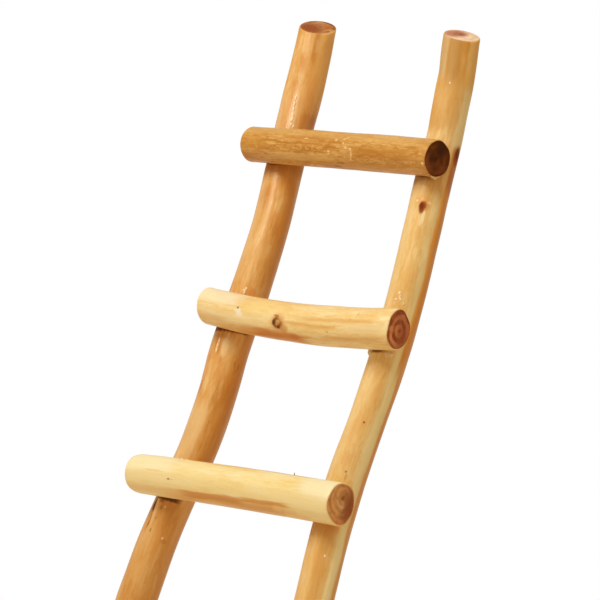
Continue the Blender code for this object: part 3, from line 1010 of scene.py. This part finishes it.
RUNG_END_TONES = ((233, 175, 104), (196, 128, 70), (240, 186, 120), 0.0009)
for number in (1, 2):
    patches = [(-0.7, 0.2, 0.6, 0.9, (170, 98, 58), 0.80)]
    name = f"rung_{number}_end"
    end = sawn_end(name, 32 + number, RUNG_RADIUS, RUNG_END_TONES, (0.05, -0.10), 0.0042, 0.7, patches)
    wood = plain_rung_wood(f"rung_{number}_wood", 4 + number)
    grow_rung(number, partial(bosses, rows=[]), wood, end)

RUNG_3_BOSSES = at_end(3, [
    (-125, 0.0050, 0.0009),
    (-28, 0.0050, -0.0005),
    (14, 0.0035, 0.0003),
    (62, 0.0045, -0.0006),
    (122, 0.0045, 0.0004),
])
RUNG_3_WEAR = 0.0011  # off its left end


def rung_3_lumps(place, turn):
    """The out-of-round of the right end, and a bell curve of wear off the left one."""
    worn = RUNG_3_WEAR * np.exp(-(((place - RUNGS[2].start) / 0.0024) ** 2))
    return bosses(place, turn, RUNG_3_BOSSES) - worn


def rung_3_wood():
    """Cream wood, nearly clear, with a long brown streak of heartwood along its lower side, and painted
    sheen on its top near both ends.
    """
    wood = wood_fields("rung_3_wood", 7)
    colour = fibres(wood, (246, 218, 138), (253, 233, 164), (254, 242, 190), 0.45, 0.35)
    zones = [
        (-0.020, 0.050, -100, -64, 5, (226, 172, 92), 0.60),
        # Painted sheen: paler on the lit top near both ends
        (-0.090, -0.044, -70, 4, 10, (255, 247, 200), 0.70),
        (0.046, 0.090, -70, 8, 10, (255, 248, 204), 0.70),
        (-0.090, 0.080, 0, 34, 8, (246, 222, 154), 0.55),
        (-0.090, -0.030, 44, 74, 8, (246, 208, 136), 0.60),
        (0.044, 0.090, 30, 84, 10, (254, 238, 178), 0.55),
        (-0.042, 0.040, 38, 96, 4, (236, 182, 104), 0.80),
        (-0.034, 0.008, 37, 60, 4, (218, 150, 72), 0.80),
        (0.008, 0.040, 33, 47, 3, (218, 152, 74), 0.85),
        (-0.005, 0.036, 60, 78, 6, (224, 164, 90), 0.60),
        (0.040, 0.056, 66, 96, 6, (244, 200, 128), 0.60),
    ]
    colour = zoned(wood, colour, zones)
    spots = [
        (-0.0444, 15, 0.0018, 0.0010, (146, 106, 58), 0.85),
        (-0.0425, 15, 0.0030, 0.0006, (214, 180, 116), 0.50),
        (0.0330, 54, 0.0070, 0.0040, (250, 216, 146), 0.60),
        (-0.0560, -4, 0.0140, 0.0012, (236, 204, 136), 0.45),
    ]
    return lacquered(wood, spotted(wood, colour, spots), 0.15, 0.35)


def turned_saw(aslant, across):
    """The plane of a saw held this many degrees off square: leaning over, and turned to the front."""
    return np.array([1.0, -np.tan(radians(across)), np.tan(radians(aslant))])


rung_3_patches = [
    (-0.10, -0.10, 0.50, 0.60, (244, 196, 126), 0.70),
    (0.50, -0.50, 0.50, 0.50, (248, 192, 124), 0.50),
    (0.60, 0.45, 0.45, 0.50, (250, 188, 116), 0.60),
    (-0.35, 0.35, 0.30, 0.35, (196, 124, 72), 0.50),
    (-0.85, -0.10, 0.66, 1.00, (156, 84, 50), 0.90),
    (-0.20, 0.95, 0.30, 0.24, (240, 156, 98), 0.75),
    (-0.04, -0.31, 0.22, 0.22, (168, 104, 52), 0.70),
    (-0.09, 0.06, 0.18, 0.24, (250, 208, 148), 0.60),
]
RUNG_3_END_TONES = ((234, 172, 104), (160, 92, 50), (238, 182, 116), 0.0006)
rung_3_end = sawn_end(
    "rung_3_end", 35, RUNG_RADIUS, RUNG_3_END_TONES, (-0.04, -0.31), 0.0034, 0.40, rung_3_patches
)
grow_rung(
    3, rung_3_lumps, rung_3_wood(), rung_3_end, turned_saw(5, 0), turned_saw(2, 1.5)
)
hair = [(0.0353, -74, 0.0007, 0.0006, 0.0015)]
splinter = drop_stuff("splinter", (150, 140, 112), (176, 160, 124), 0.8, 0.0)
strewn_on_rung("rung_3_splinter", 3, partial(rung_skin, 3), hair, splinter)

RUNG_4_BOSSES = at_end(4, [(8, 0.0058, -0.0016), (-40, 0.0070, -0.0009), (-120, 0.0050, -0.0012)])
KNOT = (0.0004, 21)  # its place along the rung and its turn in degrees
KNOT_RADIUS = 0.0036
RUNG_4_BOSSES += [(*KNOT, 0.0046, 0.0004), (0.0002, 23, 0.0014, -0.0004)]


def rung_4_wood():
    """Cream and straw-coloured wood with a swirling knot, a pin hole and an orange-brown patch below, and
    painted sheen and glints.
    """
    wood = wood_fields("rung_4_wood", 8)
    colour = fibres(wood, (238, 196, 116), (248, 216, 142), (253, 234, 176), 0.50, 0.40)
    zones = [
        (-0.010, 0.075, -100, -66, 5, (222, 166, 88), 0.60),
        # Painted sheen: paler on the lit top of the left part
        (-0.085, -0.032, -70, -6, 12, (255, 246, 208), 0.65),
        (-0.085, -0.010, 14, 44, 10, (250, 228, 172), 0.50),
        (-0.030, 0.000, -40, 14, 10, (248, 218, 138), 0.40),
        (0.014, 0.066, -7, 4, 4, (230, 174, 92), 0.60),
        (0.006, 0.040, 14, 23, 3, (228, 172, 92), 0.60),
        (0.030, 0.072, 44, 58, 5, (230, 176, 100), 0.55),
        (0.046, 0.078, 8, 34, 8, (253, 232, 176), 0.60),
        (-0.050, 0.004, 56, 96, 6, (238, 184, 112), 0.55),
        (-0.030, 0.020, 46, 90, 6, (226, 156, 78), 0.70),
        (-0.018, 0.017, 48, 84, 6, (214, 136, 60), 0.80),
        (-0.070, -0.040, 34, 50, 6, (238, 194, 132), 0.45),
    ]
    colour = zoned(wood, colour, zones)
    knot = away(wood, *KNOT, 0.0074, 0.0080, 0.20)
    colour = colour.tinted(srgb(226, 166, 88), (1 - knot.rise(0.7, 1.8)) * 0.75)
    up = (wood.along - KNOT[0]) / KNOT_RADIUS
    down = (wood.turn - radians(KNOT[1])) * (RUNG_RADIUS / KNOT_RADIUS)
    whorl = knot.hump(0.40, 0.84, 0.18) * (1 - (up - down).rise(0.3, 1.2) * 0.8)
    colour = colour.tinted(srgb(136, 76, 28), whorl * 0.95)
    spots = [
        (-0.0024, 21, 0.0022, 0.0034, (98, 48, 16), 0.90),
        (0.0014, 31, 0.0026, 0.0026, (112, 58, 20), 0.85),
        (-0.0010, 2, 0.0040, 0.0014, (170, 106, 44), 0.80),
        (0.0004, 22, 0.0018, 0.0016, (184, 124, 62), 0.80),
        (0.0032, 24, 0.0022, 0.0030, (168, 102, 44), 0.60),
        (0.0048, 36, 0.0050, 0.0044, (206, 142, 72), 0.60),
        (0.0110, 60, 0.0060, 0.0040, (214, 128, 58), 0.60),
        (-0.0308, -3, 0.0014, 0.0014, (98, 62, 28), 0.95),
        # Painted glints beside the pin hole
        (-0.0300, 5, 0.0044, 0.0026, (255, 248, 222), 0.60),
        (-0.0288, 14, 0.0050, 0.0030, (255, 248, 222), 0.65),
        (0.0505, -4, 0.0012, 0.0008, (190, 144, 86), 0.50),
        (0.0545, -24, 0.0010, 0.0026, (206, 172, 120), 0.45),
        (0.0352, 33, 0.0022, 0.0010, (200, 148, 82), 0.50),
    ]
    return lacquered(wood, spotted(wood, colour, spots), 0.15, 0.40)


RUNG_4_END_TONES = ((210, 132, 90), (146, 72, 32), (250, 218, 150), 0.0006)
rung_4_patches = [
    (0.42, 0.40, 0.60, 0.60, (248, 166, 106), 0.90),
    (-0.60, 0.45, 0.45, 0.50, (176, 100, 62), 0.60),
    (0.00, -0.85, 0.30, 0.14, (236, 164, 116), 0.70),
    (-0.14, 0.10, 0.22, 0.26, (184, 104, 60), 0.70),
]
rung_4_end = sawn_end(
    "rung_4_end", 36, RUNG_RADIUS, RUNG_4_END_TONES, (-0.12, 0.09), 0.0051, 0.90, rung_4_patches
)
rung_4_lumps = partial(bosses, rows=RUNG_4_BOSSES)
grow_rung(
    4, rung_4_lumps, rung_4_wood(), rung_4_end, turned_saw(3, 0), turned_saw(0.5, -3)
)

ROUGH_BUMPS = 60
dice = np.random.default_rng(51)
RUNG_5_BOSSES = at_end(5, [
    (-150, 0.0050, 0.0005),
    (-108, 0.0035, -0.0003),
    (-44, 0.0045, -0.0004),
    (-2, 0.0035, -0.0004),
    (32, 0.0045, 0.0004),
    (88, 0.0040, 0.0004),
    (158, 0.0050, 0.0008),
])
for _ in range(ROUGH_BUMPS):
    at, angle = dice.uniform(-0.070, 0.070), degrees(dice.uniform(-1.6, 2.2))
    RUNG_5_BOSSES.append((at, angle, dice.uniform(0.0012, 0.0030), dice.uniform(-0.00016, 0.00016)))


def rung_5_skin(place, turn):
    """The rung's radius with its peeled relief, its end's out-of-round and its rough bumps."""
    return rung_skin(5, place, turn) + bosses(place, turn, RUNG_5_BOSSES)


def rung_5_wood():
    """Golden-brown wood, rough and streaked, with a painted highlight along its top."""
    wood = wood_fields("rung_5_wood", 9)
    colour = fibres(wood, (186, 122, 42), (208, 152, 69), (230, 185, 108), 0.60, 0.80)
    dash = wood.noise(0.0014, 0.010, 3.0, 6.0, 1.0)
    brown, pale = ((178, 112, 38), 0.54, 0.68, 0.50), ((236, 192, 116), 0.30, 0.44, 0.45)
    colour = flushed(colour, dash, brown, pale)
    zones = [
        # Painted highlight: paler along the lit top
        (-0.080, 0.080, -70, -18, 12, (222, 174, 92), 0.50),
        (-0.045, 0.004, 38, 62, 8, (228, 182, 98), 0.65),
        (0.016, 0.060, 4, 38, 8, (192, 130, 48), 0.60),
        (-0.034, 0.008, -20, -2, 5, (194, 132, 50), 0.45),
        (-0.075, -0.052, -10, 70, 10, (206, 146, 60), 0.50),
        (0.010, 0.060, 54, 90, 6, (220, 168, 92), 0.60),
        (0.062, 0.075, -40, 70, 6, (204, 144, 60), 0.50),
    ]
    colour = zoned(wood, colour, zones)
    spots = [
        (-0.0226, 34, 0.0090, 0.0010, (170, 108, 40), 0.60),
        (-0.0307, 8, 0.0110, 0.0012, (176, 114, 42), 0.60),
        (0.0070, 62, 0.0060, 0.0016, (164, 100, 36), 0.60),
        (0.0025, 80, 0.0050, 0.0016, (160, 98, 36), 0.60),
        (0.0120, 30, 0.0080, 0.0070, (216, 168, 92), 0.40),
        (0.0660, 10, 0.0020, 0.0012, (238, 200, 140), 0.60),
    ]
    return lacquered(wood, spotted(wood, colour, spots), 0.12, 0.70)


RUNG_5_END_TONES = ((106, 58, 27), (80, 41, 18), (128, 66, 26), 0.0010)
rung_5_patches = [
    (0.62, -0.55, 0.42, 0.42, (138, 80, 26), 0.85),
    (0.55, 0.55, 0.45, 0.45, (156, 92, 46), 0.80),
    (-0.70, -0.45, 0.30, 0.45, (126, 66, 20), 0.60),
    (-0.60, 0.40, 0.50, 0.60, (142, 80, 40), 0.85),
    (-0.02, -0.55, 0.45, 0.40, (56, 36, 24), 0.60),
    (0.30, 0.20, 0.24, 0.24, (66, 36, 14), 0.60),
]
rung_5_end = sawn_end(
    "rung_5_end", 37, RUNG_RADIUS, RUNG_5_END_TONES, (0.10, 0.10), 0.0050, 0.5, rung_5_patches
)
rung_5_lumps = partial(bosses, rows=RUNG_5_BOSSES)
grow_rung(
    5, rung_5_lumps, rung_5_wood(), rung_5_end, SQUARE_SAW, turned_saw(-3.5, 2.3)
)
# Pale flakes in a squarish ring where the skin was scraped, brightest at its right, and fibres torn by
# the saw at the right end
flakes = trail((0.0050, 12), (0.0140, 11), 5, 2.5, 21, 0.7)
flakes += trail((0.0020, -13), (0.0122, -22), 6, 3, 23, 0.8)
flakes += trail((-0.0010, 18), (-0.0006, 42), 4, 4, 24, 0.8) + [(0.0092, -3, 0.0012, 0.0016, 0.0002)]
flakes += [
    (0.0150, 15, 0.0016, 0.0020, 0.0002),
    (0.0158, 22, 0.0012, 0.0034, 0.0002),
    (0.0160, 31, 0.0014, 0.0040, 0.0002),
    (0.0155, 41, 0.0012, 0.0036, 0.0002),
]
flakes += [(0.0681, 40, 0.0020, 0.0024, 0.0004), (-0.0200, -12, 0.0040, 0.0008, 0.0001)]
rim = RUNGS[4].end - 0.0006
flakes += [
    (rim, 97, 0.0012, 0.0028, 0.0007),
    (rim, 110, 0.0014, 0.0034, 0.0014),
    (rim, 122, 0.0012, 0.0028, 0.0009),
]
raw_wood = drop_stuff("raw_wood", (222, 172, 96), (244, 206, 140), 0.6, 0.1)
strewn_on_rung("rung_5_flakes", 5, rung_5_skin, flakes, raw_wood)

# Screws
# One zinc-plated wood screw holds each joint. It is driven in from the back of the rail, with its
# countersunk head and cross recess a little below the surface.

SCREW_LENGTH = 0.029
SCREW_RADIUS = 0.00175
CORE_RADIUS = 0.78 * SCREW_RADIUS
SCREW_HEAD_RIM = 0.0005
SCREW_HEAD_HEIGHT = 0.0024
SCREW_POINT = 0.006
PLAIN_SHANK = 0.006
THREAD_PITCH = 0.0014
THREAD_RUN_IN = 0.001
THREAD_STEEPNESS = 3.2  # how many of its own heights the ridge falls in a pitch
RECESS_DEPTH = 0.0013
RECESS_WALL = (0.0004, 0.0006)  # half width of the cross's arms at the bottom and at the top
RECESS_END = (0.0017, 0.0021)  # and their reach
CROWN_ROWS = 26
CONE_ROWS = 8
SHANK_ROWS = 150
SCREW_COLUMNS = 48


def screw_grid(seat_x, back, seat_z, twist):
    """A wood screw as a grid of rows from its tip to the middle of its head and columns round it. The
    head's top sinks in a cross, and the shank swells in a ridge that climbs one pitch a turn."""
    head = SCREW_HEAD_RADIUS
    crown = np.linspace(0, head, CROWN_ROWS)
    cone = np.linspace(SCREW_HEAD_RIM, SCREW_HEAD_HEIGHT, CONE_ROWS)
    shank = np.linspace(SCREW_HEAD_HEIGHT, SCREW_LENGTH, SHANK_ROWS)[1:]
    depth = np.concatenate([0 * crown, cone, shank])[:, None]
    taper = head - (head - SCREW_RADIUS) * (cone - SCREW_HEAD_RIM) / (SCREW_HEAD_HEIGHT - SCREW_HEAD_RIM)
    spread = np.concatenate([crown, taper, CORE_RADIUS + 0 * shank])[:, None]
    turn = np.linspace(0, 2 * pi, SCREW_COLUMNS, endpoint=False)[None]
    climb = depth / THREAD_PITCH - turn / (2 * pi)
    ridge = np.maximum(0, 1 - THREAD_STEEPNESS * abs(climb - np.floor(climb) - 0.5))
    first_turn = SCREW_HEAD_HEIGHT + PLAIN_SHANK
    threaded = ramp(first_turn, first_turn + THREAD_RUN_IN, depth)
    point = np.minimum(1, (SCREW_LENGTH - depth) / SCREW_POINT)
    spread = (spread + (SCREW_RADIUS - CORE_RADIUS) * ridge * threaded) * point
    a, b = spread * np.cos(turn + twist), spread * np.sin(turn + twist)
    u, v = abs(spread * np.cos(turn)), abs(spread * np.sin(turn))
    recess = (1 - ramp(*RECESS_WALL, np.minimum(u, v))) * (1 - ramp(*RECESS_END, np.maximum(u, v)))
    depth = depth + RECESS_DEPTH * recess * (depth == 0)
    points = np.stack([seat_x - a, back - SCREW_SINK - depth + 0 * a, seat_z + b], -1)
    return SimpleNamespace(points=points[::-1])


# Yellowish plating, bright and clouded
ZINC_TONES = ((196, 190, 176), (214, 196, 150))
zinc = clouded("zinc_screw", (900.0, 3.0), ZINC_TONES, (0.40, 0.65), (0.28, 0.25), {"Metallic": 1.0})
for rail in RAILS:
    for number, rung in enumerate(RUNGS, 1):
        seat = seat_on(rail, rung)
        twist = 0.7 * number + 0.4 * rail.side  # no two crosses stand alike
        grid = screw_grid(seat[0], back_of(rail, seat[2]), seat[2], twist)
        name = f"{rail.name}_screw_{number}"
        dressed(skinned(f"{name}_steel", grid, zinc), name)

# Glue
# Clear glue squeezed out round each saddle and set as a thin glassy bead along the seam between rung and
# rail, with a few drops hanging from it.

GLUE_COLUMNS = 12
GLUE_ROWS = 160
GLUE_THICK = 0.00030
GLUE_POOLED = 0.00012  # how much thicker it is at the top of the seam, and thinner at the foot
GLUE_UNEVEN = 0.00004
GLUE_PROUD = 0.35  # how far the bead's middle stands off the seam, as a share of its thickness
SEAM_SHARE = 0.999  # of the widest angle, short of where the sides of the seam meet


def glue_grid(rail, rung, seed):
    """A bead of glue as a grid of rows along the seam and columns round the bead. The seam runs where the
    rung's round meets the rail's: its angle on the rung is the widest angle times the sine of the way
    round."""
    seat = seat_on(rail, rung)
    big, small = rail_radius(rail, seat[2]), rung_radius(rung, seat[0])
    way = np.linspace(0, 2 * pi, GLUE_ROWS, endpoint=False)
    widest = np.arccos(1 - SEAT_DEPTH / small)
    climb = SEAM_SHARE * widest * np.sin(way)
    lean_out = np.arccos(np.clip(1 + (small * (1 - np.cos(climb)) - SEAT_DEPTH) / big, -1, 1))
    lean_out = lean_out * np.sign(np.cos(way))
    height = seat[2] + small * np.sin(climb)
    axis = rail_line(rail, height)
    seam = np.stack([axis[:, 0] + big * np.sin(lean_out), seat[1] + small * np.cos(climb), height], -1)
    from_rail = np.stack([np.sin(lean_out), -np.cos(lean_out), 0 * way], -1)
    from_rung = np.stack([0 * way, np.cos(climb), np.sin(climb)], -1)
    out = unit(from_rail + from_rung)
    along = unit(np.roll(seam, -1, 0) - np.roll(seam, 1, 0))
    out = unit(out - along * (out * along).sum(-1, keepdims=True))
    side = np.cross(along, out)
    dice = np.random.default_rng(seed)
    thick = GLUE_THICK + GLUE_POOLED * np.sin(way)
    for waves in (2, 3, 5, 8):
        thick = thick + GLUE_UNEVEN * np.cos(waves * way + dice.uniform(0, 2 * pi))
    turn = np.linspace(0, 2 * pi, GLUE_COLUMNS, endpoint=False)
    middle = seam + out * thick[:, None] * GLUE_PROUD
    return middle[:, None] + thick[:, None, None] * outward(turn, out[:, None], side[:, None])


def looped(name, points, material):
    """Closes a grid of points into an object that wraps round both ways, like a ring."""
    rows, columns = points.shape[:2]
    index = np.arange(rows * columns).reshape(rows, columns)
    beside, after = np.roll(index, -1, 1), np.roll(index, -1, 0)
    quads = np.stack([index, beside, np.roll(beside, -1, 0), after], -1).reshape(-1, 4)
    return built(name, points.reshape(-1, 3), quads.tolist(), material)


# Glassy, faintly amber and clouded here and there
GLUE_TONES = ((240, 206, 146), (254, 236, 196))
GLASSY = {"Transmission Weight": 0.15, "IOR": 1.48}
set_glue = clouded("clear_glue", (400.0, 2.0), GLUE_TONES, (0.40, 0.65), (0.08, 0.12), GLASSY)
for rail in RAILS:
    for number, rung in enumerate(RUNGS, 1):
        points = glue_grid(rail, rung, 60 + number + 10 * rail.side)
        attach(looped(f"{rail.name}_glue_{number}", points, set_glue), "root")
# Drops that ran from the beads: place along the rail, turn in degrees, length, width and height
GLUE_DROPS = {
    "left": [
        (0.2925, 8, 0.0016, 0.0026, 0.0003),
        (0.2932, 30, 0.0014, 0.0030, 0.0003),
        (0.2938, 50, 0.0014, 0.0024, 0.0003),
    ],
    "right": [
        (0.3690, -46, 0.0050, 0.0030, 0.0014),
        (0.3692, 33, 0.0034, 0.0034, 0.0010),
        (0.3696, 46, 0.0022, 0.0024, 0.0006),
    ],
}
for rail in RAILS:
    strewn_on_rail(f"{rail.name}_glue_drops", rail, GLUE_DROPS[rail.name], set_glue)

# Floor, light and camera
# A pale studio floor, one wide soft lamp high at the front and even, slightly warm light all round. The
# camera stands to the right of the ladder's front, a little above its middle, with a long lens.

CAMERA_AZIMUTH = radians(41.407)
CAMERA_HEIGHT = radians(7.080)
CAMERA_DISTANCE = 1.358
CAMERA_LENS = 144.0
SENSOR_WIDTH = 36.0
AIM = np.array([-0.0145, 0.0, 0.3956])  # in the upright frame
AMBIENT = (0.46, 0.36, 0.27)  # light from all round, a little warm
MIRRORED = 0.3  # how much of the white backdrop shows in reflections
FLOOR_SIZE = 30.0
FLOOR_COLOUR = (0.90, 0.80, 0.66, 1.0)
FLOOR_WHITE = 0.35  # share of white in the floor under the ladder
FLOOR_FADE = (0.35, 0.75)  # distances between which it turns all white
KEY_SIZE = 0.7
KEY_POWER = 16.5
KEY_AZIMUTH = radians(-6)
KEY_HEIGHT = radians(58)
KEY_DISTANCE = 1.6


def bearing(azimuth, height):
    """The direction at this bearing to the right of the ladder's front and this height above level."""
    return Vector((sin(azimuth) * cos(height), -cos(azimuth) * cos(height), sin(height)))


def placed(thing, azimuth, height, distance):
    """Puts a lamp or camera at this distance from the ladder's middle, looking at it."""
    holder = bpy.data.objects.new(thing.name, thing)
    bpy.context.scene.collection.objects.link(holder)
    way = bearing(azimuth, height)
    holder.location = Vector(leaned(AIM)) + distance * way
    holder.rotation_euler = way.to_track_quat("Z", "Y").to_euler()
    return holder


lens = bpy.data.cameras.new("camera")
lens.lens = CAMERA_LENS
lens.sensor_width = SENSOR_WIDTH
bpy.context.scene.camera = placed(lens, CAMERA_AZIMUTH, CAMERA_HEIGHT, CAMERA_DISTANCE)

key = bpy.data.lights.new("key_soft_box", "AREA")
key.size = KEY_SIZE
key.energy = KEY_POWER
placed(key, KEY_AZIMUTH, KEY_HEIGHT, KEY_DISTANCE)


def seen(tree, mirrored):
    """1 for rays from the camera and see-through rays, which show the backdrop, a given share of 1 for
    mirrored rays, and 0 for rays that only carry light."""
    ray = Shade(tree, None).node("ShaderNodeLightPath", {}, {}, "Is Camera Ray")
    direct = ray.maths("MAXIMUM", ray, ray.other("Is Transmission Ray"))
    return direct.maths("MAXIMUM", direct, ray.other("Is Glossy Ray") * mirrored)


half = FLOOR_SIZE / 2
sheet = bpy.data.meshes.new("studio_floor")
corners = [(-half, -half, 0), (half, -half, 0), (half, half, 0), (-half, half, 0)]
sheet.from_pydata(corners, [], [(0, 1, 2, 3)])
floor = bpy.data.objects.new("studio_floor", sheet)
bpy.context.scene.collection.objects.link(floor)
paper = set_sockets(new_material("studio_paper"), {"Base Color": FLOOR_COLOUR, "Roughness": 0.9})
tree = paper.node_tree
matt = Shade(tree, tree.nodes["Principled BSDF"].outputs[0])
start = Shade(tree, None)
spot = start.node("ShaderNodeTexCoord", {}, {}, "Object")
distance = start.node("ShaderNodeVectorMath", {"operation": "LENGTH"}, {0: spot}, "Value")
white = start.node("ShaderNodeEmission", {}, {"Color": (1, 1, 1, 1), "Strength": 1.0})
fade = (FLOOR_WHITE + (1 - FLOOR_WHITE) * distance.rise(*FLOOR_FADE)) * seen(tree, MIRRORED)
mixed = start.node("ShaderNodeMixShader", {}, {0: fade, 1: matt, 2: white})
tree.links.new(mixed.socket, tree.nodes["Material Output"].inputs["Surface"])
sheet.materials.append(paper)

world = bpy.data.worlds.new("studio_light")
bpy.context.scene.world = world
world.use_nodes = True
tree = world.node_tree
start = Shade(tree, None)
ray_way = start.node("ShaderNodeTexCoord", {}, {}, "Generated")
behind = tuple(-bearing(CAMERA_AZIMUTH, 0.0))
sockets = {0: ray_way, 1: behind}
facing = start.node("ShaderNodeVectorMath", {"operation": "DOT_PRODUCT"}, sockets, "Value")
backdrop = seen(tree, facing.rise(0.15, 0.65) * MIRRORED)
glow = facing.tinted((*AMBIENT, 1.0), 1.0).tinted((1, 1, 1, 1), backdrop)
tree.links.new(glow.socket, tree.nodes["Background"].inputs["Color"])

bpy.context.scene.view_settings.view_transform = "Standard"
